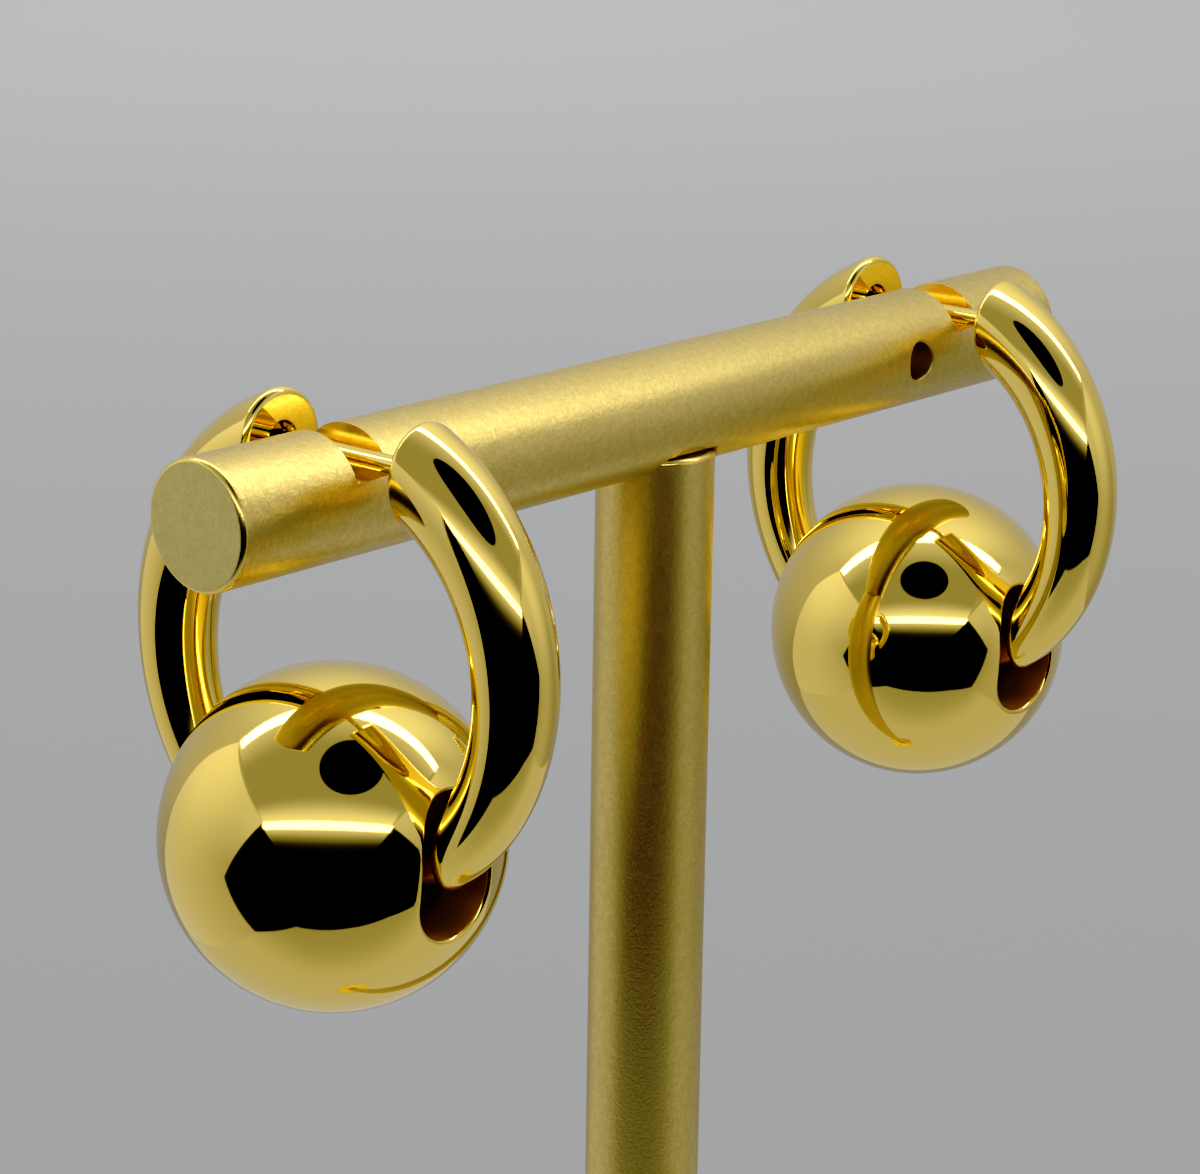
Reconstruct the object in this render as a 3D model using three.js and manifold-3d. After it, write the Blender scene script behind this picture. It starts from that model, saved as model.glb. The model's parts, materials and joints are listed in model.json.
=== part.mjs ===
// A pair of barbell hoop earrings, each a ball on a two-armed hoop, hanging on a small T-bar stand.
// Millimetres, +Z up. The origin is the middle of the stand's base, on the surface it stands on.
// X runs along the bar, and the hinged arms of the earrings face -Y.
import * as THREE from 'three';
import { mergeVertices } from 'three/addons/utils/BufferGeometryUtils.js';
import Module from 'manifold-3d';

const wasm = await Module();
wasm.setup();

// ---- driving dimensions ----

const stand = {
  baseRadius: 14,
  baseHeight: 3.5,
  baseBevel: 0.6,
  postRadius: 2.94,
  postBevel: 0.2,
  postSink: 2.2, // how far the post's foot goes into the base
  spigotRadius: 1.4, // of the thinner end that goes on up into the bar
  spigotLength: 2.5,
  barRadius: 3,
  barLength: 60.6,
  barBevel: 0.16,
  barHeight: 175, // of the bar's axis over the table
  seatFloor: -1.75, // of the flat seat cut in the bar's underside, from the bar's axis
  notchFromMiddle: 22.3, // where an earring's post lies across the bar
  notchWidth: 2.1,
  notchFloor: 0.95, // over the bar's axis
  studHoleFromMiddle: 18,
  studHoleRadius: 1,
  fitGap: 0.25, // between the stand's own pieces
};

// An earring's own frame: the origin is the ball's centre, the hoop lies in the YZ plane.
const earring = {
  ballRadius: 8,
  postRadius: 0.45,
  postHeight: 17.85, // of the ear post over the ball's centre
  postGrip: 1, // how far the closed post goes into its hole
  postHoleRadius: 0.9,
  postHoleDepth: 2,
};

// Each arm is a round rod on a circle. Angles are from the top of the circle, and the rod
// thins evenly from radiusAtTop by taper for each radian.
const fixedArm = { centreY: -0.28, centreZ: 7.8, bend: 10.68, radiusAtTop: 2.57, taper: 0.444, faceY: 3.54, end: 2.5 };
const hingedArm = { centreY: -0.87, centreZ: 8.77, bend: 9.94, radiusAtTop: 2.38, taper: 0.304, faceY: -5, end: 2.55 };

// The hinged arm's lower end is cut nearly upright behind, leaning out by lean radians, and
// level below. From there a tongue goes on into the ball, with an eye round the hinge pin.
const tipCut = { backY: -7.25, lean: 0.1, bottomZ: -0.45 };
const tongue = { radius: 0.95, start: 2.3, end: 2.6 };
const hinge = { pinRadius: 0.6, pinHalfLength: 6, eyeRadius: 1.7, eyeHalfWidth: 1.7, bore: 0.9 };

// The ball's opening: a half circle below and a taller, slightly squared half ellipse above.
// Behind it a round pocket as wide as the opening leaves the tongue room to swing.
const slot = { halfWidth: 2.17, waistZ: -0.8, upperHeight: 4.6, squareness: 2.4, outerY: -9, innerY: -4, pocketRadius: 5.7 };

// Where each ball's centre hangs, measured from the middle of the bar's axis, and how the
// earring sits: turned about the vertical, leaning along the bar, and nodding over it.
const hangings = [
  { side: 'left', x: -22.57, y: -0.32, z: -16.03, turn: 0.5, lean: 1.7, nod: 0 },
  { side: 'right', x: 22.3, y: -0.3, z: -16.12, turn: -4.3, lean: 0, nod: -0.9 },
];

// ---- finishes ----

const polishedGold = new THREE.MeshStandardMaterial({ color: 0xd9b450, roughness: 0.08, metalness: 1 });
const satinGold = new THREE.MeshStandardMaterial({ color: 0xbfa75c, roughness: 0.42, metalness: 1 });

// ---- helpers ----

function solidFrom(geometry) {
  const bare = geometry.index ? geometry.toNonIndexed() : geometry.clone();
  for (const name of Object.keys(bare.attributes)) {
    if (name !== 'position') bare.deleteAttribute(name);
  }
  const merged = mergeVertices(bare, 1e-4);
  const mesh = new wasm.Mesh({
    numProp: 3,
    vertProperties: new Float32Array(merged.attributes.position.array),
    triVerts: new Uint32Array(merged.index.array),
  });
  return new wasm.Manifold(mesh);
}

function geometryFrom(solid) {
  const mesh = solid.getMesh();
  const geometry = new THREE.BufferGeometry();
  geometry.setAttribute('position', new THREE.BufferAttribute(mesh.vertProperties, 3));
  geometry.setIndex(new THREE.BufferAttribute(mesh.triVerts, 1));
  geometry.computeVertexNormals();
  return geometry;
}

function namedMesh(name, solid, material) {
  const mesh = new THREE.Mesh(geometryFrom(solid), material);
  mesh.name = name;
  return mesh;
}

// A rod along one axis, centred on the given point.
function rod(axis, radius, length, sides, centre = [0, 0, 0]) {
  const geometry = new THREE.CylinderGeometry(radius, radius, length, sides);
  if (axis === 'x') geometry.rotateZ(-Math.PI / 2);
  if (axis === 'z') geometry.rotateX(Math.PI / 2);
  geometry.translate(...centre);
  return solidFrom(geometry);
}

function block(size, centre) {
  return solidFrom(new THREE.BoxGeometry(...size).translate(...centre));
}

// A round bar with bevelled ends, turned about Z from z = 0 up.
function bevelledRod(radius, height, bevelLow, bevelHigh, sides) {
  const profile = [
    [0, 0],
    [radius - bevelLow, 0],
    [radius, bevelLow],
    [radius, height - bevelHigh],
    [radius - bevelHigh, height],
    [0, height],
  ];
  const points = profile.map(([r, z]) => new THREE.Vector2(r, z));
  return new THREE.LatheGeometry(points, sides).rotateX(Math.PI / 2);
}

// A cone-shaped rod bent onto a circle in the YZ plane, towards side +1 (+Y) or -1 (-Y).
function bentRod(arm, side, from, to, radiusFrom, radiusTo, sides, steps) {
  const geometry = new THREE.CylinderGeometry(radiusTo, radiusFrom, 1, sides, steps);
  const place = geometry.attributes.position;
  for (let i = 0; i < place.count; i++) {
    const angle = from + (place.getY(i) + 0.5) * (to - from);
    const reach = arm.bend + place.getZ(i);
    const y = arm.centreY + side * reach * Math.sin(angle);
    const z = arm.centreZ + reach * Math.cos(angle);
    place.setXYZ(i, side * place.getX(i), y, z);
  }
  return solidFrom(geometry);
}

const rodRadius = (arm, angle) => arm.radiusAtTop - arm.taper * angle;

// An arm from its upright end face down to the angle where it stops.
function armRod(arm, side, to) {
  const start = 0.2;
  const whole = bentRod(arm, side, start, to, rodRadius(arm, start), rodRadius(arm, to), 24, 18);
  const beyond = 10;
  const cutter = block([beyond, beyond, beyond], [0, arm.faceY - (side * beyond) / 2, arm.centreZ + arm.bend]);
  return whole.subtract(cutter);
}

// ---- the stand ----

function standBase() {
  const plate = solidFrom(bevelledRod(stand.baseRadius, stand.baseHeight, 0.3, stand.baseBevel, 70));
  const socketBottom = stand.baseHeight - stand.postSink - stand.fitGap;
  const depth = stand.baseHeight - socketBottom + 1;
  const socket = rod('z', stand.postRadius + stand.fitGap, depth, 48, [0, 0, socketBottom + depth / 2]);
  return plate.subtract(socket);
}

function standPost() {
  const foot = stand.baseHeight - stand.postSink;
  const top = stand.barHeight + stand.seatFloor - stand.fitGap;
  const shaft = solidFrom(bevelledRod(stand.postRadius, top - foot, stand.postBevel, stand.postBevel, 48).translate(0, 0, foot));
  return shaft.add(rod('z', stand.spigotRadius, 2 * stand.spigotLength, 24, [0, 0, top]));
}

function standBar() {
  const length = stand.barLength;
  const round = bevelledRod(stand.barRadius, length, stand.barBevel, stand.barBevel, 56);
  let bar = solidFrom(round.translate(0, 0, -length / 2).rotateY(Math.PI / 2));
  const notchHeight = stand.barRadius;
  for (const side of [-1, 1]) {
    const notchAt = [side * stand.notchFromMiddle, 0, stand.notchFloor + notchHeight / 2];
    bar = bar.subtract(block([stand.notchWidth, 3 * stand.barRadius, notchHeight], notchAt));
    const holeAt = [side * stand.studHoleFromMiddle, 0, 0];
    bar = bar.subtract(rod('y', stand.studHoleRadius, 3 * stand.barRadius, 24, holeAt));
  }
  // a flat round seat in the underside takes the post's top, and a blind hole its spigot
  const seatDepth = 4;
  bar = bar.subtract(rod('z', stand.postRadius + stand.fitGap, seatDepth, 48, [0, 0, stand.seatFloor - seatDepth / 2]));
  const holeRadius = stand.spigotRadius + stand.fitGap;
  bar = bar.subtract(rod('z', holeRadius, 2 * stand.spigotLength, 24, [0, 0, stand.seatFloor]));
  return bar.translate([0, 0, stand.barHeight]);
}

// ---- one earring, in its own frame ----

function ballSlot() {
  const steps = 48;
  const outline = [];
  for (let i = 0; i < steps; i++) {
    const angle = (2 * Math.PI * i) / steps;
    const across = Math.cos(angle);
    const up = Math.sin(angle);
    const power = up > 0 ? 2 / slot.squareness : 1;
    const height = up > 0 ? slot.upperHeight : slot.halfWidth;
    const x = slot.halfWidth * Math.sign(across) * Math.abs(across) ** power;
    const z = slot.waistZ + height * Math.sign(up) * Math.abs(up) ** power;
    outline.push(new THREE.Vector2(x, z));
  }
  const depth = slot.innerY - slot.outerY;
  const cutter = new THREE.ExtrudeGeometry(new THREE.Shape(outline), { depth, bevelEnabled: false });
  return solidFrom(cutter.rotateX(Math.PI / 2).translate(0, slot.innerY, 0));
}

// The ball and the fixed arm are soldered into one. The arm's end face has a blind hole
// for the ear post, and the ball has the slot, its pocket and a blind bore for the hinge pin.
function ballAndFixedArm() {
  const ball = solidFrom(new THREE.SphereGeometry(earring.ballRadius, 40, 20).rotateX(Math.PI / 2));
  const postHole = rod('y', earring.postHoleRadius, 2 * earring.postHoleDepth, 20, [0, fixedArm.faceY, earring.postHeight]);
  const pocket = rod('x', slot.pocketRadius, 2 * slot.halfWidth, 36);
  const pinBore = rod('x', hinge.bore, 2 * hinge.pinHalfLength + 0.6, 20);
  const body = ball.add(armRod(fixedArm, 1, fixedArm.end));
  return body.subtract(postHole).subtract(ballSlot()).subtract(pocket).subtract(pinBore);
}

// The arm, the ear post soldered into its end face, and the tongue and eye of the hinge.
function hingedArmAndPost() {
  const behindGeometry = new THREE.BoxGeometry(10, 8, 12).translate(0, 4, 0);
  const behind = solidFrom(behindGeometry.rotateX(tipCut.lean).translate(0, tipCut.backY, 0));
  const below = block([10, 20, 4], [0, tipCut.backY, tipCut.bottomZ - 2]);
  const arm = armRod(hingedArm, -1, hingedArm.end).subtract(behind).subtract(below);
  const neck = bentRod(hingedArm, -1, tongue.start, tongue.end, tongue.radius, tongue.radius, 16, 3);
  const tongueY = hingedArm.centreY - hingedArm.bend * Math.sin(tongue.end);
  const tongueZ = hingedArm.centreZ + hingedArm.bend * Math.cos(tongue.end);
  const tongueRod = rod('y', tongue.radius, -tongueY, 16, [0, tongueY / 2, tongueZ]);
  const knee = solidFrom(new THREE.SphereGeometry(tongue.radius, 12, 6).translate(0, tongueY, tongueZ));
  const eye = rod('x', hinge.eyeRadius, 2 * hinge.eyeHalfWidth, 28);
  const bore = rod('x', hinge.bore, 4 * hinge.eyeHalfWidth, 20);
  const postFrom = hingedArm.faceY - 0.5;
  const postTo = fixedArm.faceY + earring.postGrip;
  const postAt = [0, (postFrom + postTo) / 2, earring.postHeight];
  const earPost = rod('y', earring.postRadius, postTo - postFrom, 20, postAt);
  const body = arm.add(neck).add(knee).add(tongueRod).add(eye);
  return body.subtract(bore).add(earPost);
}

function hingePin() {
  return rod('x', hinge.pinRadius, 2 * hinge.pinHalfLength, 20);
}

// ---- assembly ----

const part = new THREE.Group();
part.add(namedMesh('stand_base', standBase(), satinGold));
part.add(namedMesh('stand_post', standPost(), satinGold));
part.add(namedMesh('stand_bar', standBar(), satinGold));

for (const { side, x, y, z, turn, lean, nod } of hangings) {
  const earringGroup = new THREE.Group();
  earringGroup.position.set(x, y, stand.barHeight + z);
  const angles = [nod, lean, turn].map(THREE.MathUtils.degToRad);
  earringGroup.rotation.set(...angles, 'ZYX');
  earringGroup.add(namedMesh(`${side}_ball`, ballAndFixedArm(), polishedGold));
  earringGroup.add(namedMesh(`${side}_arm`, hingedArmAndPost(), polishedGold));
  earringGroup.add(namedMesh(`${side}_hinge_pin`, hingePin(), polishedGold));
  part.add(earringGroup);
}

export default part;
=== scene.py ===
import json
import math

import bmesh
import bpy
import numpy as np
from mathutils import Matrix, Vector


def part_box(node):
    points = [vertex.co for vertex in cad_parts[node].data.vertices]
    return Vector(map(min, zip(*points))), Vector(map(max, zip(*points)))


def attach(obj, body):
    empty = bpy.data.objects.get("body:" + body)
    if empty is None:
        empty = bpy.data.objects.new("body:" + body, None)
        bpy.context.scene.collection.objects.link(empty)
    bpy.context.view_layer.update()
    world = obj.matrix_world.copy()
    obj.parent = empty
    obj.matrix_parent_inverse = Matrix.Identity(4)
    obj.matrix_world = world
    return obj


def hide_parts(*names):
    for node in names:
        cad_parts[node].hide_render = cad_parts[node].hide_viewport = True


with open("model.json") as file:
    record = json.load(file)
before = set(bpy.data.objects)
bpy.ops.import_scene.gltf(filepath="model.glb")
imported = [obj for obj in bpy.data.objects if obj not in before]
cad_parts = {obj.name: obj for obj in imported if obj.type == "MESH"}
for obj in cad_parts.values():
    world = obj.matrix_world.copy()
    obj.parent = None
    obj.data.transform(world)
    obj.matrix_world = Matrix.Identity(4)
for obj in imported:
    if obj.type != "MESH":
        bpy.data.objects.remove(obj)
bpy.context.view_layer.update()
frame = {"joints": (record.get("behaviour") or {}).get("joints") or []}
millimetre = 0.001
mergeReach = 1e-7  # metres; points this near are one


# Turning and carrying arrays of points.


def turnAbout(axis, degrees):
    # rotation matrix about x, y or z by the right-hand rule
    a = math.radians(degrees)
    c, s = math.cos(a), math.sin(a)
    i, j = {"x": (1, 2), "y": (2, 0), "z": (0, 1)}[axis]
    matrix = np.eye(3)
    matrix[i, i], matrix[i, j], matrix[j, i], matrix[j, j] = c, -s, s, c
    return matrix


def unit(vectors):
    return vectors / np.linalg.norm(vectors, axis=-1, keepdims=True)


def arcBetween(start, end, steps):
    # rows of unit vectors that swing evenly from start to end along great circles
    start, end = np.broadcast_arrays(start, end)
    angle = np.arccos(np.clip((start * end).sum(-1), -1, 1))[None, :, None]
    share = np.linspace(0, 1, steps)[:, None, None]
    return (np.sin((1 - share) * angle) * start + np.sin(share * angle) * end) / np.sin(angle)


def mixRows(first, last, shares):
    # rows between two rings, each share of the way across
    shares = np.asarray(shares, float)[:, None, None]
    return first[None] * (1 - shares) + last[None] * shares


# Putting surfaces into meshes.


def ringQuads(rows, columns):
    # joins each closed ring of points to the next one
    row = np.arange(rows - 1)[:, None] * columns
    here, beside = np.arange(columns)[None], (np.arange(columns)[None] + 1) % columns
    corners = [row + here, row + beside, row + columns + beside, row + columns + here]
    return np.stack(corners, -1).reshape(-1, 4)


def endFans(rows, columns, tip):
    # triangles from the point numbered tip to the first ring, and from the next one to the last
    here, beside = np.arange(columns), (np.arange(columns) + 1) % columns
    last = (rows - 1) * columns
    first = np.stack([np.full(columns, tip), beside, here], -1)
    return np.vstack([first, np.stack([np.full(columns, tip + 1), last + here, last + beside], -1)])


def closedSkin(rings, firstTip=None):
    # a skin over rings, closed at both ends by a fan to the ring's middle, or first to a tip
    rows, columns = rings.shape[:2]
    tips = [rings[0].mean(0) if firstTip is None else firstTip, rings[-1].mean(0)]
    points = np.vstack([rings.reshape(-1, 3), tips])
    return points, ringQuads(rows, columns), endFans(rows, columns, rows * columns)


def outward(skin):
    # turns a closed skin's faces over if its enclosed volume comes out negative
    points, quads, triangles = skin
    flat = np.vstack([quads[:, :3], quads[:, [0, 2, 3]], triangles])
    a, b, c = (points[flat[:, k]] for k in range(3))
    if (a * np.cross(b, c)).sum() < 0:
        quads, triangles = quads[:, ::-1], triangles[:, ::-1]
    return points, quads, triangles


def editMesh(mesh, edit):
    # takes a mesh through one edit and puts it back
    work = bmesh.new()
    work.from_mesh(mesh)
    edit(work)
    work.to_mesh(mesh)
    work.free()


def addPiece(name, skins, finishes, body, nodes, place=None, crease=None, coat=None):
    # one mesh of several closed skins, carried to its place and put on its body; coat tells
    # from the faces' middles, before they are carried, which of the finishes each face takes
    points, faces, middles, count = [], [], [], 0
    for skin in skins:
        where, *kinds = outward(skin)
        points.append(where)
        for corners in kinds:
            faces += (corners + count).tolist()
            middles.append(where[corners].mean(1))
        count += len(where)
    points = np.vstack(points)
    if place is not None:
        turn, centre = place
        points = points @ turn.T + centre
    mesh = bpy.data.meshes.new(name)
    mesh.from_pydata((points * millimetre).tolist(), [], faces)
    for finish in finishes:
        mesh.materials.append(finish)
    if coat is not None:
        mesh.polygons.foreach_set("material_index", coat(np.vstack(middles)).astype(np.int32))
    editMesh(mesh, lambda work: bmesh.ops.remove_doubles(work, verts=work.verts, dist=mergeReach))
    mesh.polygons.foreach_set("use_smooth", np.ones(len(mesh.polygons), bool))
    if crease is not None:
        mesh.set_sharp_from_angle(angle=math.radians(crease))
    piece = bpy.data.objects.new(name, mesh)
    bpy.context.scene.collection.objects.link(piece)
    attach(piece, body)
    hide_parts(*nodes)
    print(name, len(mesh.polygons), "faces")
    return piece


# Shader nodes written as expressions.


class Value:
    # a socket whose number changes over a surface, so that sums on it add Math nodes
    def __init__(self, finish, socket):
        self.finish, self.socket = finish, socket

    def combine(self, operation, first, second):
        return self.finish.node("ShaderNodeMath", {"operation": operation}, [first, second])

    def __add__(self, other):
        return self.combine("ADD", self, other)

    def __sub__(self, other):
        return self.combine("SUBTRACT", self, other)

    def __mul__(self, other):
        return self.combine("MULTIPLY", self, other)

    def __rsub__(self, other):
        return self.combine("SUBTRACT", other, self)

    __radd__, __rmul__ = __add__, __mul__

    def rise(self, low, high):
        # 0 at and below low, 1 at and above high, smooth between; low may be the greater
        inputs = [self, low, high, 0.0, 1.0]
        return self.finish.node("ShaderNodeMapRange", {"interpolation_type": "SMOOTHSTEP"}, inputs)


class Finish:
    # a material and its nodes
    def __init__(self, name):
        self.material = bpy.data.materials.new(name)
        self.material.use_nodes = True
        self.tree = self.material.node_tree
        self.tree.nodes.clear()

    def node(self, kind, settings=None, inputs=(), output=0):
        made = self.tree.nodes.new(kind)
        for key, value in (settings or {}).items():
            setattr(made, key, value)
        pairs = inputs.items() if isinstance(inputs, dict) else enumerate(inputs)
        for key, value in pairs:
            if isinstance(value, Value):
                self.tree.links.new(value.socket, made.inputs[key])
            else:
                made.inputs[key].default_value = value
        return Value(self, made.outputs[output]) if made.outputs else None

    def noise(self, place, scale, detail=2.0, roughness=0.5):
        inputs = {"Vector": place, "Scale": scale, "Detail": detail, "Roughness": roughness}
        return self.node("ShaderNodeTexNoise", {}, inputs)

    def mixColours(self, share, first, second):
        # on this node a colour mix reads sockets 0, 6 and 7 and gives output 2
        inputs = {0: share, 6: first, 7: second}
        return self.node("ShaderNodeMix", {"data_type": "RGBA"}, inputs, 2)

    def metal(self, colour, roughness, height, strength, depth):
        # bare metal with a fine relief, its depth in millimetres
        relief = {"Strength": strength, "Distance": depth * millimetre, "Height": height}
        bump = self.node("ShaderNodeBump", {}, relief)
        inputs = {"Base Color": colour, "Metallic": 1.0, "Roughness": roughness, "Normal": bump}
        return self.finishWith(self.node("ShaderNodeBsdfPrincipled", {}, inputs))

    def place(self):
        return self.node("ShaderNodeTexCoord", output="Object")

    def finishWith(self, shader):
        self.node("ShaderNodeOutputMaterial", {}, {"Surface": shader})
        return self.material


# The finishes.

waverDepth = 0.02  # millimetres
polishedGold = {
    "colour": (0.95, 0.715, 0.17, 1),
    "roughness": 0.035,
    "smudge": 0.06,  # extra roughness where the polish is dulled
    "smudgeScale": 260,
    "waver": 0.02,  # strength of the polish's faint unevenness
    "waverScale": 900,
}
slotShadedGold = {  # the slot's walls: rougher, since the polishing wheel doesn't reach them, and coloured darker and redder as painted shade inside the slot
    "colour": (0.8, 0.5, 0.1, 1),
    "roughness": 0.5,
    "smudge": 0.12,
    "smudgeScale": 900,
    "waver": 0.5,
    "waverScale": 2600,
}
notchGold = {  # freshly milled faces of the bar's cuts
    "colour": (0.93, 0.69, 0.18, 1),
    "roughness": 0.2,
    "smudge": 0.1,
    "smudgeScale": 700,
    "waver": 0.12,
    "waverScale": 1800,
}
boreShadedGold = {  # inside the cross holes: a darker gold, painted shade in the bores
    "colour": (0.6, 0.42, 0.14, 1),
    "roughness": 0.4,
    "smudge": 0.1,
    "smudgeScale": 900,
    "waver": 0.3,
    "waverScale": 2600,
}
satinGold = {
    "colour": (0.77, 0.60, 0.19, 1),
    "darker": (0.66, 0.50, 0.145, 1),
    "roughness": 0.345,
    "grainScale": 5800,  # blasted grain, about 0.17 mm
    "grainDepth": 0.028,  # millimetres
    "grainStrength": 0.6,
    "grainTone": 2.6,  # how far the grain darkens the colour
    "mottleScale": 2400,  # where the blasting bit more or less
    "mottleTone": 1.8,
    "cloudScale": 120,
    "unevenness": 0.1,  # of the roughness
}
satinPostGold = dict(satinGold, roughness=0.38)
# the bar's end faces: the same satin in darker colours, painted shade on those faces
satinEndShadedGold = dict(satinGold, colour=(0.71, 0.59, 0.2, 1), darker=(0.65, 0.535, 0.17, 1))


def polishedGoldFinish(name, s):
    f = Finish(name)
    where = f.place()
    smudges = f.noise(where, s["smudgeScale"], 3.0)
    roughness = s["roughness"] + s["smudge"] * (smudges * smudges)
    waver = f.noise(where, s["waverScale"], 1.0)
    return f.metal(s["colour"], roughness, waver, s["waver"], waverDepth)


def satinGoldFinish(name, s):
    f = Finish(name)
    where = f.place()
    cloud = f.noise(where, s["cloudScale"])
    mottle = f.noise(where, s["mottleScale"])
    grain = f.noise(where, s["grainScale"], 3.0, 0.6)
    tone = s["grainTone"] * (grain - 0.5) + s["mottleTone"] * (mottle - 0.5) + cloud
    colour = f.mixColours(tone, s["colour"], s["darker"])
    roughness = s["roughness"] + s["unevenness"] * (grain + mottle - 1.0)
    return f.metal(colour, roughness, grain, s["grainStrength"], s["grainDepth"])


gold = polishedGoldFinish("polished_gold", polishedGold)
# the slot's walls and pocket: a darker, redder gold, painted shade inside the slot
slotShadedFinish = polishedGoldFinish("slot_painted_shade_gold", slotShadedGold)
notchFinish = polishedGoldFinish("notch_gold", notchGold)
# inside the cross holes: a darker gold, painted shade in the bores
boreShadedFinish = polishedGoldFinish("bore_painted_shade_gold", boreShadedGold)
satin = satinGoldFinish("satin_gold", satinGold)
postFinish = satinGoldFinish("satin_post_gold", satinPostGold)
# the bar's end faces: darker satin, painted shade
endShadedFinish = satinGoldFinish("satin_end_painted_shade_gold", satinEndShadedGold)
print("finishes made")


# The stand: bar, post and base.

low, high = (np.array(corner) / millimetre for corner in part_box("stand_bar"))
barHeight = (low[2] + high[2]) / 2
barEnd = (high[0] - low[0]) / 2

bar = {
    "radius": 3.0,
    "edge": 0.24,  # rounding of the end edges
    "notchFromMiddle": 22.3,
    "notchWidth": 2.1,
    "notchFloor": 1.1,  # over the bar's axis
    "holeFromMiddle": 18.0,  # cross holes
    "holeRadius": 1.0,
    "holeEdge": 0.1,
    "holePatch": 26.25,  # degrees either side of a hole that its own rings fill
    "holeCells": 28,  # cells along each side of that patch
    "seatFloor": -1.75,  # the post's seat, from the bar's axis
    "seatRadius": 3.07,
    "cutEdge": 0.06,  # bevel along the cuts
    "cutAngle": 38,  # degrees; only sharper edges are bevelled
}


def turned(profile, columns):
    # rings of a profile of (radius, height) pairs turned about Z
    radius, height = np.array(profile, float).T[:, :, None]
    angle = np.linspace(0, 2 * np.pi, columns, endpoint=False)[None]
    return np.stack([radius * np.cos(angle), radius * np.sin(angle), height + 0 * angle], -1)


def roundedCorner(radius, height, edge, upwards, steps=7):
    # quarter circle from the flat side to the round side of a turned corner
    angle = np.linspace(0, np.pi / 2, steps)
    r = radius - edge + edge * np.sin(angle)
    h = height - upwards * edge + upwards * edge * np.cos(angle)
    return list(zip(r, h))


def turnedRod(radius, bottom, top, edge, columns, rows):
    # a solid turned rod with rounded edges at both ends
    ringShares = (0.3, 0.7, 0.93)  # rings on the flat ends
    lower = [(radius * share, bottom) for share in ringShares]
    lower += roundedCorner(radius, bottom, edge, -1)
    side = [(radius, h) for h in np.linspace(bottom + 2 * edge, top - 2 * edge, rows)]
    upper = roundedCorner(radius, top, edge, 1)[::-1]
    upper += [(radius * share, top) for share in ringShares[::-1]]
    return turned(lower + side + upper, columns)


def heightRound(z):
    # the angle up or down from level at which the bar's skin is at height z
    return np.arcsin(np.clip(z / bar["radius"], -1, 1))


def holeEnd(outer, middleX, face):
    # Rings from a patch's outline on the bar to a cross hole's edge, and round that edge into
    # the hole. The edge is the path of a small ball rolled round it, touching bar and wall.
    radius, e = bar["radius"], bar["holeEdge"]
    around = np.arctan2(heightRound(outer[:, 2]) * radius, outer[:, 0] - middleX)
    direction = np.stack([np.cos(around), 0 * around, np.sin(around)], -1)
    centre = direction * (bar["holeRadius"] + e)
    centre[:, 1] = face * np.sqrt((radius - e) ** 2 - centre[:, 2] ** 2)
    outDirection = unit(centre * np.array([0, 1, 1]))
    lip = centre[None] + e * arcBetween(outDirection, -direction, 6)
    lip = lip + np.array([middleX, 0, 0])
    flatOuter = np.stack([outer[:, 0], heightRound(outer[:, 2])], -1)
    flatInner = np.stack([lip[0, :, 0], heightRound(lip[0, :, 2])], -1)
    flat = mixRows(flatOuter, flatInner, [0.3, 0.55, 0.75, 0.88, 0.96])
    y, z = face * radius * np.cos(flat[..., 1]), radius * np.sin(flat[..., 1])
    return np.concatenate([np.stack([flat[..., 0], y, z], -1), lip])


def patchLoop(top, left, columns, cells):
    # numbers of the points round a square patch of the bar's grid
    run = np.arange(cells)
    sides = [top * columns + left + run, (top + run) * columns + left + cells]
    sides += [(top + cells) * columns + left + cells - run, (top + cells - run) * columns + left]
    return np.concatenate(sides)


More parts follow.
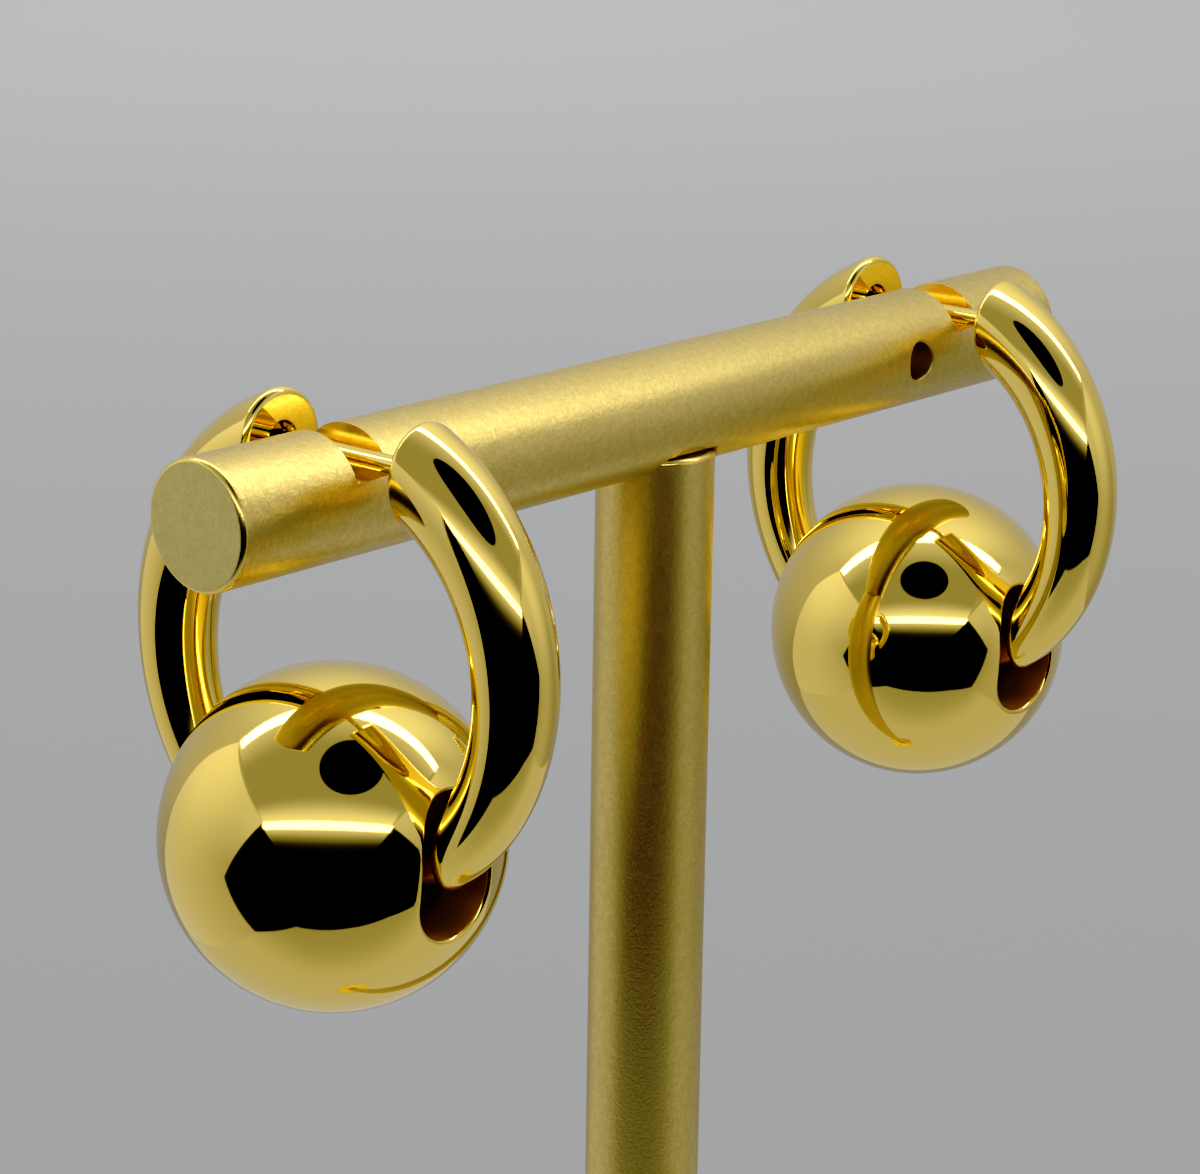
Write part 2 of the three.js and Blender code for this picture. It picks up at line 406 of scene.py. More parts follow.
def barSkin(end):
    # The bar's rings stand across its axis. Each is a circle, held down to a cut's floor or up
    # to the seat's where a cut goes through it. A ring at a cut's wall comes twice, whole and
    # held, so that the wall is the strip between them.
    radius, edge, cells = bar["radius"], bar["edge"], bar["holeCells"]
    windowHalf = math.radians(bar["holePatch"])
    notchAngle = math.acos(bar["notchFloor"] / radius)
    seatAngle = math.acos(bar["seatFloor"] / radius)
    stops = [0, np.pi / 2 - windowHalf, notchAngle, np.pi / 2 + windowHalf, seatAngle, np.pi]
    counts = [34, 4, cells - 4, 5, 29]
    runs = zip(stops, stops[1:], counts)
    half = np.concatenate([np.linspace(a, b, n, endpoint=False) for a, b, n in runs])
    angle = np.concatenate([half, 2 * np.pi - np.concatenate([[np.pi], half[:0:-1]])])
    columns = len(angle)
    y, z = radius * np.sin(angle), radius * np.cos(angle)
    onSeat = np.where(z < bar["seatFloor"], y, radius * math.sin(seatAngle))
    seatEdge = np.sqrt(bar["seatRadius"] ** 2 - onSeat**2)

    rings = []

    def ring(x, scale=1.0, ceiling=np.inf, floor=-np.inf):
        up = np.clip(z * scale, floor, ceiling)
        rings.append(np.stack([x + 0 * angle, y * scale, up], -1))

    for scale in (0.25, 0.6, 0.85, 0.93):
        ring(-end, scale)
    for a in np.linspace(0, np.pi / 2, 7):
        ring(-end + edge * (1 - math.cos(a)), (radius - edge + edge * math.sin(a)) / radius)
    nearWall = -bar["notchFromMiddle"] - bar["notchWidth"] / 2
    farWall = -bar["notchFromMiddle"] + bar["notchWidth"] / 2
    for x in np.linspace(-end + 2 * edge, nearWall, 14):
        ring(x)
    for x in np.linspace(nearWall, farWall, 6):
        ring(x, ceiling=bar["notchFloor"])
    reach = radius * windowHalf
    holeFrom, holeTo = -bar["holeFromMiddle"] - reach, -bar["holeFromMiddle"] + reach
    for x in np.linspace(farWall, holeFrom, 8)[:-1]:
        ring(x)
    windowRow = len(rings)
    for x in np.linspace(holeFrom, holeTo, cells + 1):
        ring(x)
    for share in np.linspace(0, 1, 30)[1:]:
        ring(holeTo * (1 - share) - seatEdge * share)
    for share in np.linspace(0, 1, 8)[:-1]:
        ring(-seatEdge * (1 - share), floor=bar["seatFloor"])
    middle = rings[-1] * np.array([0, 1, 1])
    mirrored = [r * np.array([-1, 1, 1]) for r in rings[::-1]]
    grid = np.array(rings + [middle] + mirrored)
    rows, flatGrid = len(grid), grid.reshape(-1, 3)

    # the cross holes: patches of the grid, filled by rings that run on through the bar
    quads, points, count = [ringQuads(rows, columns)], [flatGrid], rows * columns
    dropped = np.zeros(len(quads[0]), bool)
    r, c = np.meshgrid(np.arange(cells), np.arange(cells), indexing="ij")
    for side in (-1, 1):
        top = windowRow if side < 0 else rows - 1 - windowRow - cells
        ends = []
        for face in (1, -1):
            left = counts[0] if face > 0 else columns - counts[0] - cells
            dropped[((top + r) * columns + (left + c)).ravel()] = True
            loop = patchLoop(top, left, columns, cells)
            if face < 0:  # start opposite the front's loop, and run the same way round
                loop = np.concatenate([[loop[cells]], loop[cells - 1 :: -1], loop[:cells:-1]])
            ends.append((loop, holeEnd(flatGrid[loop], side * bar["holeFromMiddle"], face)))
        (frontLoop, front), (backLoop, back) = ends
        wall = mixRows(front[-1], back[-1], np.linspace(0, 1, 14)[1:-1])
        tube = np.concatenate([front, wall, back[::-1]])
        around = np.arange(tube.shape[1])
        beside, last = (around + 1) % len(around), count + (len(tube) - 1) * len(around)
        firstStrip = [frontLoop, np.roll(frontLoop, -1), count + beside, count + around]
        lastStrip = [last + around, last + beside, np.roll(backLoop, -1), backLoop]
        quads += [np.stack(firstStrip, -1), ringQuads(len(tube), len(around)) + count]
        quads.append(np.stack(lastStrip, -1))
        points.append(tube.reshape(-1, 3))
        count += len(points[-1])
    quads[0] = quads[0][~dropped]
    points.append(np.array([grid[0].mean(0), grid[-1].mean(0)]))
    return np.vstack(points), np.vstack(quads), endFans(rows, columns, count)


def barCoat(middles):
    # 1 for the notches, the post's seat and the end edges, 2 inside the cross holes, which take
    # painted shade, 3 for the end faces, which also take painted shade, 0 for all the rest
    near, margin = 0.01, 1e-3
    x, z = np.abs(middles[:, 0]), middles[:, 2] - barHeight
    acrossNotch = np.abs(x - bar["notchFromMiddle"]) < bar["notchWidth"] / 2 + 1e-6
    inNotch = acrossNotch & (z > bar["notchFloor"] - margin)
    inHole = np.hypot(x - bar["holeFromMiddle"], z) < bar["holeRadius"] + 2 * near
    inSeat = np.hypot(x, middles[:, 1]) < bar["seatRadius"] + margin
    inSeat = inSeat & (z < bar["seatFloor"] + margin)
    onEdge = (x > barEnd - bar["edge"]) & (x < barEnd - near)
    return inNotch + inSeat + 2 * inHole + 3 * (x > barEnd - near) + onEdge


points, quads, fans = barSkin(barEnd)
barPiece = addPiece(
    "bar",
    [(points + np.array([0, 0, barHeight]), quads, fans)],
    [satin, notchFinish, boreShadedFinish, endShadedFinish],
    "stand_with_balls",
    ["stand_bar"],
    coat=barCoat,
)
editMesh(barPiece.data, lambda work: bmesh.ops.recalc_face_normals(work, faces=work.faces))
cutEdges = barPiece.modifiers.new("cut_edges", "BEVEL")
cutEdges.limit_method = "ANGLE"
cutEdges.angle_limit = math.radians(bar["cutAngle"])
cutEdges.width = bar["cutEdge"] * millimetre
cutEdges.segments = 3
cutEdges.harden_normals = True

standPost = {
    "radius": 2.94,
    "edge": 0.28,
    "seatGap": 0.13,  # from the post's top to the seat
    "sink": 2.2,  # into the base
    "spigotRadius": 1.4,
    "spigotLength": 2.5,
    "spigotEdge": 0.15,
}
base = {
    "radius": 14.0,
    "height": 3.5,
    "edge": 0.6,
    "footEdge": 0.3,
    "socketGap": 0.25,  # round the post and under it
    "socketEdge": 0.12,
}

postTop = barHeight + bar["seatFloor"] - standPost["seatGap"]
postBottom = base["height"] - standPost["sink"]
shaft = turnedRod(standPost["radius"], postBottom, postTop, standPost["edge"], 128, 60)
spigotRadius, spigotTop = standPost["spigotRadius"], postTop + standPost["spigotLength"]
spigot = turnedRod(spigotRadius, postTop - 1, spigotTop, standPost["spigotEdge"], 64, 6)


def postCoat(middles):
    # 1 for the rim of the post's top, 0 for all the rest
    onRim = np.hypot(middles[:, 0], middles[:, 1]) > standPost["radius"] - standPost["edge"]
    return onRim & (middles[:, 2] > postTop - standPost["edge"])


addPiece(
    "post",
    [closedSkin(shaft), closedSkin(spigot)],
    [postFinish, notchFinish],
    "stand_with_balls",
    ["stand_post"],
    crease=40,
    coat=postCoat,
)


def baseRings():
    # the plate's profile, from its underside round the rim to the socket that holds the post
    radius, height, edge, lip = base["radius"], base["height"], base["edge"], base["socketEdge"]
    socket = standPost["radius"] + base["socketGap"]
    floor = height - standPost["sink"] - base["socketGap"]
    profile = [(radius * share, 0) for share in (0.3, 0.7, 0.95)]
    profile += roundedCorner(radius, 0, base["footEdge"], -1, 5)
    profile += [(radius, h) for h in np.linspace(0.6, height - edge - 0.2, 5)]
    profile += roundedCorner(radius, height, edge, 1, 9)[::-1]
    profile += [(r, height) for r in np.linspace(radius - edge - 0.3, socket + 0.3, 12)]
    angle = np.linspace(0, np.pi / 2, 5)
    profile += list(zip(socket + lip * (1 - np.sin(angle)), height - lip * (1 - np.cos(angle))))
    profile += [(socket, h) for h in np.linspace(height - 0.3, floor + 0.05, 4)]
    profile += [(socket - 0.05, floor), (socket * 0.5, floor)]
    return turned(profile, 160)


addPiece(
    "base",
    [closedSkin(baseRings())],
    [satin],
    "stand_with_balls",
    ["stand_base"],
    crease=60,
)
print("stand made")


# The earrings, each in the frame of its own ball, with the ball in the middle.

ball = {
    "radius": 8.0,
    "slotHalfWidth": 2.17,
    "slotWaist": -0.8,  # height of the slot's widest line
    "slotUpper": 4.6,  # from the waist to the slot's top
    "squareness": 2.4,
    "lip": 0.16,  # rounding of the slot's edge
    "slotDepth": 4.7,  # where the slot opens into the pocket
    "pocketRadius": 5.72,
    "pocketFrom": 0.3,  # how far past the slot's wall the pocket begins
    "pocketFlat": 0.02,  # how far short of its full depth it ends
    "pocketPower": 0.3,  # squares its corners
    "columns": 240,
}


def slotOutline(s):
    # a half circle below the waist and a squared half ellipse above, spaced evenly along the line
    a = np.linspace(0, 2 * np.pi, 6001)
    power = np.where(np.sin(a) > 0, 2 / s["squareness"], 1)
    height = np.where(np.sin(a) > 0, s["slotUpper"], s["slotHalfWidth"])
    x = s["slotHalfWidth"] * np.sign(np.cos(a)) * np.abs(np.cos(a)) ** power
    z = s["slotWaist"] + height * np.sign(np.sin(a)) * np.abs(np.sin(a)) ** power
    along = np.concatenate([[0], np.cumsum(np.hypot(np.diff(x), np.diff(z)))])
    even = np.linspace(0, along[-1], s["columns"], endpoint=False)
    return np.interp(even, along, x), np.interp(even, along, z), np.interp(even, along, a)


def ballSkin(s):
    # One skin from the ball's back, round its slot's edge and down the slot's wall into the
    # pocket. The edge is the path of a small ball rolled along it, touching sphere and wall.
    x, z, a = slotOutline(s)
    radius, lip = s["radius"], s["lip"]
    alongX, alongZ = np.roll(x, -1) - np.roll(x, 1), np.roll(z, -1) - np.roll(z, 1)
    out = unit(np.stack([alongZ, 0 * x, -alongX], -1))
    centre = np.stack([x, 0 * x, z], -1) + lip * out
    centre[:, 1] = -np.sqrt((radius - lip) ** 2 - centre[:, 0] ** 2 - centre[:, 2] ** 2)
    edgeDirection = unit(centre)
    back = np.array([0.0, 1.0, 0.0])
    shares = np.linspace(0, 1, 150)[1:]
    angle = np.arccos(np.clip(edgeDirection @ back, -1, 1))[None, :, None]
    share = shares[:, None, None]
    swing = np.sin((1 - share) * angle) * back + np.sin(share * angle) * edgeDirection
    sphere = radius * swing / np.sin(angle)
    edge = centre[None] + lip * arcBetween(edgeDirection, -out, 10)[1:]
    inner = edge[-1].copy()
    inner[:, 1] = -s["slotDepth"]
    wall = mixRows(edge[-1], inner, [0.06, 0.2, 0.4, 0.6, 0.8, 1.0])
    shallow, deep = s["pocketFrom"] - s["slotDepth"], s["pocketRadius"] - s["pocketFlat"]
    depth, power = np.linspace(shallow, deep, 16), s["pocketPower"]
    tall = np.sqrt(np.maximum(s["pocketRadius"] ** 2 - depth**2, 0.01))[:, None]
    px = s["slotHalfWidth"] * np.sign(np.cos(a)) * np.abs(np.cos(a)) ** power + 0 * tall
    pz = tall * np.sign(np.sin(a)) * np.abs(np.sin(a)) ** power
    pocket = np.stack([px, depth[:, None] + 0 * px, pz], -1)
    rings = np.concatenate([sphere, edge, wall, pocket])
    return closedSkin(rings, firstTip=radius * back)


# An arm is a tapering rod on a circle, and angles along it run from the circle's top.
fixedArm = {
    "side": 1,  # 1 behind the bar, -1 in front of it
    "centreY": -0.28,  # of the arm's circle, from the ball's middle
    "centreZ": 7.8,
    "bend": 10.68,  # radius of the circle
    "radiusAtTop": 2.57,
    "taper": 0.444,  # radius lost in a radian
    "faceY": 3.54,  # the upright end face
    "end": 2.5,  # radians, inside the ball
    "rim": 0.3,  # rounding of the end face's edge
}
hingedArm = {
    "side": -1,
    "centreY": -0.87,
    "centreZ": 8.77,
    "bend": 9.94,
    "radiusAtTop": 2.38,
    "taper": 0.304,
    "faceY": -5.0,
    "end": 2.8,  # radians, past the cut below
    "rim": 0.3,
    "tipY": -7.25,  # a nearly upright cut behind the arm's lower end
    "tipLean": 0.1,
    "tipRim": 0.35,
    "tongueRadius": 0.95,  # the tongue runs on from the arm to the eye on the pin
    "tongueFrom": 2.25,  # radians
    "tongueAt": 2.6,  # where its knee begins
    "kneeRadius": 1.6,
    "tongueEnd": 1.2,  # from the eye's middle
    "eyeRadius": 1.7,
    "eyeHalfWidth": 1.7,
    "eyeEdge": 0.12,
    "bore": 0.9,
}
earPost = {
    "radius": 0.45,
    "height": 17.85,
    "grip": 1.0,  # how far its tip goes into the fixed arm
    "root": 0.5,  # how far it goes into the hinged arm
    "edge": 0.14,
    "holeRadius": 0.85,
    "holeDepth": 1.35,
    "holeEdge": 0.08,
}


def armRow(arm, radius, theta, beta):
    # points and outward directions of a rod on a circle, at angles theta along and beta round it
    side, bend = arm["side"], arm["bend"]
    reach = bend + radius * np.cos(beta)
    y = arm["centreY"] + side * reach * np.sin(theta)
    z = arm["centreZ"] + reach * np.cos(theta)
    points = np.stack([radius * np.sin(beta) + 0 * theta, y, z], -1)
    slope = arm["taper"] / reach
    normal = np.stack(
        [
            np.sin(beta) + 0 * theta,
            side * (np.cos(beta) * np.sin(theta) + slope * np.cos(theta)),
            np.cos(beta) * np.cos(theta) - slope * np.sin(theta),
        ],
        -1,
    )
    return points, unit(normal)


def trimmedEdge(arm, beta, direction, offset, rim, inside, outside):
    # Where a rod is cut by the plane "direction . point = offset": the angle along the rod
    # where its skin ends, for each angle round it, and the rounded edge from there on to the
    # plane. The edge is the path of a small ball rolled inside both.
    direction = np.array(direction, float)
    inside, outside = np.full(len(beta), float(inside)), np.full(len(beta), float(outside))
    for _ in range(40):
        theta = (inside + outside) / 2
        points, normal = armRow(arm, arm["radiusAtTop"] - arm["taper"] * theta, theta, beta)
        centre = points - rim * normal
        within = centre @ direction < offset - rim
        inside, outside = np.where(within, theta, inside), np.where(within, outside, theta)
    return theta, centre[None] + rim * arcBetween(normal, direction[None], 12)


def armSkin(arm, hole=None, columns=112, rows=150):
    # from the upright end face, round its rim, down the tapering rod, and round its lower end
    side = arm["side"]
    beta = np.linspace(0, 2 * np.pi, columns, endpoint=False)
    facing, offset = (0, -side, 0), -side * arm["faceY"]
    theta, edge = trimmedEdge(arm, beta, facing, offset, arm["rim"], 1.2, 0.0)
    edge = edge[::-1]
    outline = edge[0]
    middle = np.array([0.0, arm["faceY"], earPost["height"]])
    start = []
    if hole is None:
        inner = middle + 0.3 * (outline - middle)
        face = mixRows(inner, outline, [0, 0.3, 0.6, 0.85, 0.96])
        tip = middle
    else:
        around = np.arctan2(outline[:, 2] - middle[2], outline[:, 0])
        direction = np.stack([np.cos(around), 0 * around, np.sin(around)], -1)
        e = hole["holeEdge"]
        lipCentre = middle + (hole["holeRadius"] + e) * direction + np.array([0, side * e, 0])
        lip = lipCentre[None] + e * arcBetween(-direction, np.array([[0.0, -side, 0.0]]), 7)
        deep = lip[0] + np.array([0, side * (hole["holeDepth"] - e), 0])
        start = [mixRows(deep, lip[0], [0, 0.04, 0.3, 0.7, 0.96]), lip]
        face = mixRows(lip[-1], outline, [0.06, 0.2, 0.45, 0.7, 0.88, 0.97])
        tip = deep.mean(0)
    if "tipY" in arm:
        cut = unit(np.array([0, 1, arm["tipLean"]]))
        level = cut[1] * arm["tipY"]
        last, lastEdge = trimmedEdge(arm, beta, cut, level, arm["tipRim"], 1.6, arm["end"])
    else:
        last = np.full(columns, arm["end"])
    share = np.linspace(0, 1, rows)[1:, None]
    thetas = theta[None] * (1 - share) + last[None] * share
    body, _ = armRow(arm, arm["radiusAtTop"] - arm["taper"] * thetas, thetas, beta[None])
    pieces = start + [face, edge, body]
    if "tipY" in arm:
        end = lastEdge[-1]
        pieces += [lastEdge[1:], mixRows(end, end.mean(0), [0.04, 0.15, 0.4, 0.7])]
    return closedSkin(np.concatenate(pieces), firstTip=tip)


def tongueSkin(arm, columns=64):
    # from inside the arm's lower end along its circle, then level on a small knee to the eye
    side, knee, radius = arm["side"], arm["tongueAt"], arm["tongueRadius"]
    beta = np.linspace(0, 2 * np.pi, columns, endpoint=False)
    theta = np.linspace(arm["tongueFrom"], knee, 10)
    neck, _ = armRow(arm, radius + 0 * theta[:, None], theta[:, None], beta[None])
    reach = arm["bend"] - arm["kneeRadius"]
    bentY = arm["centreY"] + side * reach * math.sin(knee)
    bentZ = arm["centreZ"] + reach * math.cos(knee)
    theta = np.linspace(knee, np.pi, 10)[1:]
    small = dict(arm, centreY=bentY, centreZ=bentZ, bend=arm["kneeRadius"])
    turn, _ = armRow(small, radius + 0 * theta[:, None], theta[:, None], beta[None])
    shift = np.linspace(0, 1, 6)[1:, None, None] * np.array([0, -bentY - arm["tongueEnd"], 0])
    return closedSkin(np.concatenate([neck, turn, turn[-1] + shift]))


def eyeSkin(s):
    # a ring round the hinge pin: a rounded rectangle turned about the X axis
    width, outer, inner, edge = s["eyeHalfWidth"], s["eyeRadius"], s["bore"], s["eyeEdge"]
    corners = [(outer, width, 0), (outer, -width, 1), (inner, -width, 2), (inner, width, 3)]
    profile = []
    for radius, x, k in corners:
        out, along = (edge if radius == outer else -edge), (edge if x > 0 else -edge)
        angles = np.linspace(0, np.pi / 2, 5)
        arc = list(zip(radius - out * (1 - np.cos(angles)), x - along * (1 - np.sin(angles))))
        profile += arc[::-1] if k in (0, 2) else arc
    profile = np.array(profile)
    angle = np.linspace(0, 2 * np.pi, 64, endpoint=False)
    r, x = profile[:, :1], profile[:, 1:]
    rings = np.stack([x + 0 * angle, r * np.cos(angle), r * np.sin(angle)], -1)
    rings = np.concatenate([rings, rings[:1]])
    return rings.reshape(-1, 3), ringQuads(len(rings), 64), np.zeros((0, 3), int)


hingePin = {"radius": 0.6, "halfLength": 6.0, "edge": 0.12}


def rodAlong(axis, radius, start, end, edge, columns, rows):
    # a turned rod laid along x or y
    rings = turnedRod(radius, start, end, edge, columns, rows)
    x, y, z = rings[..., 0], rings[..., 1], rings[..., 2]
    return closedSkin(np.stack([z, x, y] if axis == "x" else [y, z, x], -1))


def slotCoat(middles):
    # 1 for the slot's walls and pocket, which lie inside the ball and take the painted shade, 0 for
    # all the rest
    inBall = np.linalg.norm(middles, axis=1) < ball["radius"] - ball["lip"]
    inSlot = np.abs(middles[:, 0]) < ball["slotHalfWidth"] + 0.01
    return inBall & inSlot & (middles[:, 1] < 6)


nods = {"left": 0.0, "right": -0.9}  # degrees about each hinge
for side, nod in nods.items():
    joint = next(j for j in frame["joints"] if j["name"] == side + "_arm_hinge")
    axis = joint["axis"]
    turn = math.degrees(math.atan2(axis[1], axis[0]))
    lean = -math.degrees(math.asin(axis[2]))
    rotation = turnAbout("z", turn) @ turnAbout("y", lean) @ turnAbout("x", nod)
    place = rotation, np.array(joint["pos_m"]) / millimetre
    addPiece(
        side + "_ball_and_fixed_arm",
        [ballSkin(ball), armSkin(fixedArm, earPost)],
        [gold, slotShadedFinish],
        "stand_with_balls",
        [side + "_ball"],
        place,
        coat=slotCoat,
    )
    postFrom, postTo = hingedArm["faceY"] - earPost["root"], fixedArm["faceY"] + earPost["grip"]
    postSkin = rodAlong("y", earPost["radius"], postFrom, postTo, earPost["edge"], 48, 40)
    postSkin = (postSkin[0] + np.array([0, 0, earPost["height"]]), *postSkin[1:])
    addPiece(
        side + "_hinged_arm_and_post",
        [armSkin(hingedArm), tongueSkin(hingedArm), eyeSkin(hingedArm), postSkin],
        [gold],
        side + "_hinged_arm",
        [side + "_arm"],
        place,
        crease=60,
    )
    length = hingePin["halfLength"]
    addPiece(
        side + "_pin",
        [rodAlong("x", hingePin["radius"], -length, length, hingePin["edge"], 48, 12)],
        [gold],
        "stand_with_balls",
        [side + "_hinge_pin"],
        place,
    )
print("earrings made")


# The camera.

# Studio directions: right, away and up as seen by the camera, from the middle of the bar.
camera = {
    "heading": 49.0373,  # degrees from +Y towards +X
    "tilt": 16.3831,  # degrees down
    "roll": 0.8513,
    "lens": 101.2425,
    "sensor": 36,
    "clip": (0.005, 50),  # metres
    "place": (-123.4204, -103.6692, 38.2531),  # millimetres from the middle of the bar
}
heading = math.radians(camera["heading"])
rightward = np.array([math.cos(heading), -math.sin(heading), 0])
away = np.array([math.sin(heading), math.cos(heading), 0])
upward = np.array([0.0, 0.0, 1.0])
barMiddle = np.array([0, 0, barHeight])

tilt, roll = math.radians(camera["tilt"]), math.radians(camera["roll"])
viewUp = math.sin(tilt) * away + math.cos(tilt) * upward
lookRight = math.cos(roll) * rightward + math.sin(roll) * viewUp
lookUp = -math.sin(roll) * rightward + math.cos(roll) * viewUp
lookBack = -(math.cos(tilt) * away - math.sin(tilt) * upward)
cameraData = bpy.data.cameras.new("camera")
cameraData.lens = camera["lens"]
cameraData.sensor_width = camera["sensor"]
cameraData.clip_start, cameraData.clip_end = camera["clip"]
cameraObject = bpy.data.objects.new("camera", cameraData)
bpy.context.scene.collection.objects.link(cameraObject)
matrix = np.eye(4)
matrix[:3, :3] = np.stack([lookRight, lookUp, lookBack], -1)
matrix[:3, 3] = (np.array(camera["place"]) + barMiddle) * millimetre
cameraObject.matrix_world = Matrix(matrix.tolist())
bpy.context.scene.camera = cameraObject
print("camera made")


# The studio.

studio = {
    "floorGrey": 0.5,
    "floorReach": 30.0,  # metres to each edge
    "strip": 4.2,  # glow of the cards under the lamps
    "rearStrip": 5.6,
    "flap": 0.6,  # glow of the cloth that hangs below the strip
    "world": 0.36,
    "sun": 0.9,
    "sunSpread": 80,  # degrees across
    "sunPlace": (-500, 500, 1000),
    "sunAim": (0, 0, -175),
    "lampPlace": (-100, 1650, 1100),
    "lampAim": (-100, 1650, -175),
    "lampSize": 1.2,  # metres
    "lampPower": 8,
    "tableDisc": 60,  # radius of the table card's flat middle, in millimetres
    "tableRise": 0.2,  # how far it lies over the floor
}


def fromStudio(points):
    # right, away, up in millimetres from the bar's middle to the part's own frame
    points = np.asarray(points, float)
    return points[:, :1] * rightward + points[:, 1:2] * away + points[:, 2:] * upward + barMiddle


def stageMesh(name, points, faces, material, seen):
    mesh = bpy.data.meshes.new(name)
    mesh.from_pydata((np.asarray(points) * millimetre).tolist(), [], faces)
    mesh.materials.append(material)
    made = bpy.data.objects.new(name, mesh)
    bpy.context.scene.collection.objects.link(made)
    if not seen:  # a card that only glossy surfaces see
        made.visible_camera = made.visible_diffuse = made.visible_shadow = False
        made.visible_transmission = made.visible_volume_scatter = False


def glow(name, level):
    # light from a card: an even level, or a sum of terms in the studio directions, in millimetres
    f = Finish(name)
    if callable(level):
        where = f.place()
        places = []
        for direction in (rightward, away, upward):
            line = tuple(direction / millimetre)
            place = f.node("ShaderNodeVectorMath", {"operation": "DOT_PRODUCT"}, [where, line], 1)
            places.append(place - float(direction @ barMiddle))
        level = level(*places)
    inputs = {"Color": (1, 1, 1, 1), "Strength": level}
    return f.finishWith(f.node("ShaderNodeEmission", {}, inputs))


# How the tent's cloth glows on each side: brightest under the lamps over its front and back.
def ceilingLight(right, back, up):
    return 0.31 + 0.64 * back.rise(-125, -215) + 0.42 * back.rise(-45, 25)


def leftLight(right, back, up):
    return (0.56 + 0.43 * up.rise(-70, 95)) * (0.66 + 0.34 * back.rise(-120, 45))


def rightLight(right, back, up):
    level = (0.41 + 0.36 * up.rise(-60, 90)) * (1.0 - 0.32 * back.rise(-30, 60))
    return level * (0.8 + 0.2 * back.rise(-110, -50))


def backLight(right, back, up):
    middle = 1.0 - 0.85 * right.rise(60, 150) - 0.85 * right.rise(0, -140)
    return 0.27 + 0.18 * up.rise(-90, 20) + 0.55 * up.rise(8, 98) * middle


def tableLight(right, back, up):
    return 0.31 + 0.19 * back.rise(-115, -40)


def flapLight(right, back, up):
    near = up.rise(12, 74)
    return studio["flap"] * (near * near * near) + 0.09 * near


def card(name, outline, middle, material):
    # a fan of triangles from a middle point to a closed outline, in studio directions
    count = len(outline)
    faces = [[count, k, (k + 1) % count] for k in range(count)]
    stageMesh(name, fromStudio(list(outline) + [middle]), faces, material, False)


def tableCard(name, outline, radius, height, material, columns=96):
    # slopes from a closed outline down to a flat disc, and closes there under the stand
    loop = np.array(outline + outline[:1], float)
    along = np.concatenate([[0], np.cumsum(np.linalg.norm(np.diff(loop, axis=0), axis=1))])
    even = np.linspace(0, along[-1], columns, endpoint=False)
    outer = np.stack([np.interp(even, along, loop[:, k]) for k in range(3)], -1)
    turn = np.arctan2(outer[:, 1], outer[:, 0])
    inner = np.stack([radius * np.cos(turn), radius * np.sin(turn), 0 * turn + height], -1)
    rings = mixRows(outer, inner, [0, 0.5, 1])
    points = np.concatenate([fromStudio(rings.reshape(-1, 3)), fromStudio([(0, 0, height)])])
    here, last = np.arange(columns), 2 * columns
    fan = np.stack([last + here, last + (here + 1) % columns, 0 * here + 3 * columns], -1)
    stageMesh(name, points, ringQuads(3, columns).tolist() + fan.tolist(), material, False)


def disc(centre, radii, count=64):
    # outline of a level oval
    a = np.linspace(0, 2 * np.pi, count, endpoint=False)
    x, y = centre[0] + radii[0] * np.cos(a), centre[1] + radii[1] * np.sin(a)
    return np.stack([x, y, 0 * a + centre[2]], -1).tolist()


# outlines of the tent's sides: right, away and up in millimetres from the bar's middle
backLeft = [(-147, 30, 100), (-170, 66, 50), (-165, 80, -10)]
backLeft += [(-150, 88, -50), (-120, 96, -85), (-88, 92, -101)]
backRight = [(168, 30, 100), (185, 66, 50), (180, 80, -10)]
backRight += [(165, 88, -50), (140, 96, -85), (110, 92, -101)]
frontLeft = [(-213, -216, 100), (-188, -89, -63), (-91, -70, -101)]
frontRight = [(192, -225, 100), (150, -95, -25), (117, -100, -101)]
frontFoot = [(-55, -117, -101), (12, -117, -101), (70, -114, -101)]
ceiling = [frontLeft[0], frontRight[0], (150, -87, 100)]
ceiling += [(168, 32, 100), (-147, 32, 100), (-151, -21, 100)]
hole, holeRadii = (17, -76, 99), (45, 49)
table = [frontLeft[-1]] + frontFoot + [frontRight[-1], backRight[-1], backLeft[-1]]
tableHeight = studio["tableRise"] - barHeight
strip = [(-205, -207, 95), (188, -215, 95), (188, -215, 71), (-205, -207, 71)]
flap = [(-205, -208, 71), (188, -216, 71), (180, -216, 12), (-200, -208, 12)]
rear = [(-140, 8, 98), (164, 8, 98), (164, 28, 98), (-140, 28, 98)]

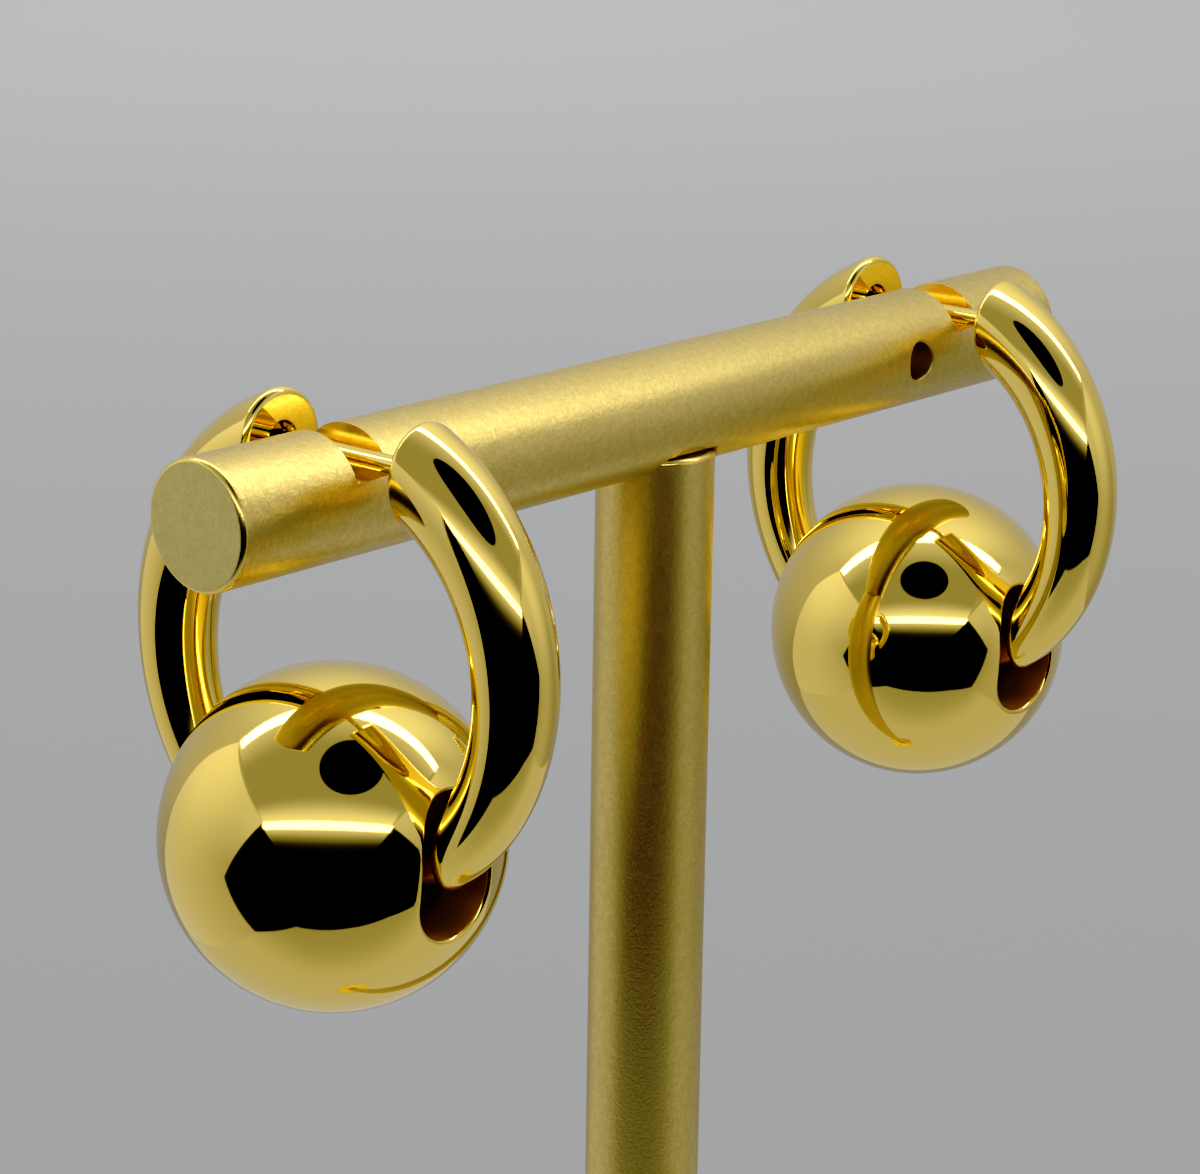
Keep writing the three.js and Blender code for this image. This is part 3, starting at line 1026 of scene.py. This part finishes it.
black = glow("unlit", 0.0)
card("card_ceiling", ceiling, (0, -90, 100), glow("ceiling_glow", ceilingLight))
card("card_ceiling_hole", disc(hole, holeRadii), hole, black)
card("card_left", frontLeft + backLeft[::-1], (-186, 0, 0), glow("left_glow", leftLight))
card("card_right", frontRight + backRight[::-1], (190, 0, 0), glow("right_glow", rightLight))
card("card_back", backLeft + backRight[::-1], (10, 105, 0), glow("back_glow", backLight))
tableCard("card_table", table, studio["tableDisc"], tableHeight, glow("table_glow", tableLight))
card("card_front", frontLeft + frontFoot + frontRight[::-1], (0, -300, 0), black)
card("card_front_strip", strip, (-8, -211, 80), glow("strip_glow", studio["strip"]))
card("card_flap", flap, (-8, -212, 42), glow("flap_glow", flapLight))
card("card_rear_strip", rear, (12, 18, 98), glow("rear_strip_glow", studio["rearStrip"]))

floor = Finish("pale_floor")
grey = studio["floorGrey"]
inputs = {"Base Color": (grey, grey * 1.005, grey * 1.02, 1)}
inputs.update({"Roughness": 0.7, "Specular IOR Level": 0.2})
floorMaterial = floor.finishWith(floor.node("ShaderNodeBsdfPrincipled", {}, inputs))
reach = studio["floorReach"] / millimetre
floorPoints = [(-reach, -reach, 0), (reach, -reach, 0), (reach, reach, 0), (-reach, reach, 0)]
stageMesh("floor", floorPoints, [[0, 1, 2, 3]], floorMaterial, True)

world = bpy.data.worlds.new("studio")
bpy.context.scene.world = world
world.use_nodes = True
world.node_tree.nodes["Background"].inputs["Color"].default_value = (1, 1, 1, 1)
world.node_tree.nodes["Background"].inputs["Strength"].default_value = studio["world"]


def lamp(name, lampData, place, aim):
    # a lamp that lights the floor alone, since the cards light all that shines
    made = bpy.data.objects.new(name, lampData)
    place, aim = (Vector(fromStudio([point])[0] * millimetre) for point in (place, aim))
    made.location = place
    made.rotation_mode = "QUATERNION"
    made.rotation_quaternion = (aim - place).to_track_quat("-Z", "Y")
    made.visible_glossy = False
    bpy.context.scene.collection.objects.link(made)


softbox = bpy.data.lights.new("softbox", "AREA")
softbox.shape, softbox.size, softbox.energy = "DISK", studio["lampSize"], studio["lampPower"]
lamp("softbox", softbox, studio["lampPlace"], studio["lampAim"])
sun = bpy.data.lights.new("sun", "SUN")
sun.energy, sun.angle = studio["sun"], math.radians(studio["sunSpread"])
lamp("sun", sun, studio["sunPlace"], studio["sunAim"])

# the camera's tone curve: shadows a little deeper than even, and all else as it comes
toneCurve = [(0.017, 0.0027), (0.03, 0.009), (0.0435, 0.0176)]
toneCurve += [(0.0595, 0.038), (0.084, 0.08), (0.13, 0.13)]
view = bpy.context.scene.view_settings
view.view_transform = "Standard"
view.use_curve_mapping = True
for stop in toneCurve:
    view.curve_mapping.curves[3].points.new(*stop)
view.curve_mapping.update()
print("studio made")
